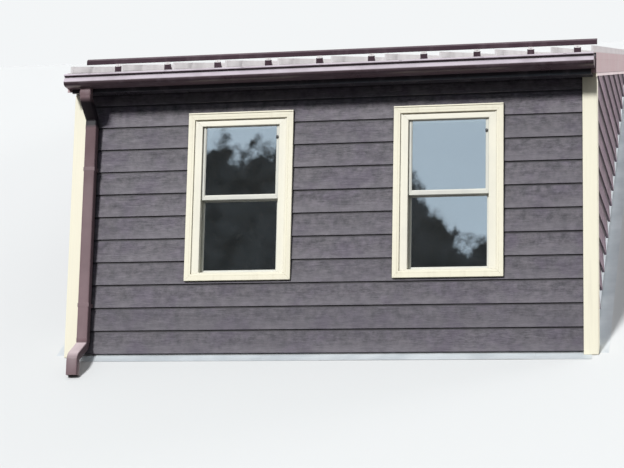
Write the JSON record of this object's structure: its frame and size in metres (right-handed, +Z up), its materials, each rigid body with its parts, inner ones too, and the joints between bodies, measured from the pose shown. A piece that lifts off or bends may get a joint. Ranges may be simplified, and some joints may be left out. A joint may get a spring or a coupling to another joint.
{
  "type": "shed dormer window",
  "caption": "Shed dormer with double-hung windows, lap siding, a low metal roof, an ogee gutter and a downspout, made to stand on a steeper main roof.",
  "frame": {"origin": "middle of the underside of the front wall's bottom plate", "axes": "+X to the right as seen from the street, +Y into the house, +Z up"},
  "size_m": [4.214, 5.2234, 3.8612],
  "materials": {
    "wall_timber": "planed softwood framing and sheathing, left bare",
    "lining_board": "painted plasterboard, matt",
    "siding": "wood-grain lap boards, painted a dark purple-grey, satin",
    "cream_trim": "cream paint, satin",
    "brown_metal": "dark brown baked enamel, glossy",
    "bar_metal": "nearly black baked enamel, dulled",
    "roof_metal": "pale grey baked enamel, glossy",
    "flashing_metal": "pale mill finish, dulled",
    "window_glass": "clear sealed units",
    "sash_vinyl": "cream moulded frame, satin"
  },
  "bodies": {
    "root": {"apron_flashing": "flashing_metal", "cheek_linings": "lining_board", "downspout_bottom_elbow": "brown_metal", "downspout_outlet": "brown_metal", "downspout_pipe": "brown_metal", "downspout_straps": "brown_metal", "downspout_top_elbow": "brown_metal", "eave_trim": "brown_metal", "front_fascia": "brown_metal", "front_siding": "siding", "front_soffit": "brown_metal", "front_wall": "wall_timber", "front_wall_lining": "lining_board", "gutter": "brown_metal", "gutter_end_caps": "brown_metal", "gutter_hangers": "brown_metal", "head_flashing": "roof_metal", "left_cheek_siding": "siding", "left_cheek_wall": "wall_timber", "left_corner_post": "cream_trim", "left_rake_fascia": "brown_metal", "left_rake_trim": "brown_metal", "left_step_flashing": "flashing_metal", "left_window_casing": "cream_trim", "left_window_frame": "sash_vinyl", "left_window_glass": "window_glass", "left_window_lower_sash": "sash_vinyl", "left_window_upper_sash": "sash_vinyl", "metal_roof": "roof_metal", "rafters": "wall_timber", "rake_moulds": "brown_metal", "right_cheek_siding": "siding", "right_cheek_wall": "wall_timber", "right_corner_post": "cream_trim", "right_rake_fascia": "brown_metal", "right_rake_trim": "brown_metal", "right_step_flashing": "flashing_metal", "right_window_casing": "cream_trim", "right_window_frame": "sash_vinyl", "right_window_glass": "window_glass", "right_window_lower_sash": "sash_vinyl", "right_window_upper_sash": "sash_vinyl", "roof_deck": "wall_timber", "snow_bar": "bar_metal", "snow_bar_feet": "bar_metal"}
  },
  "joints": []
}
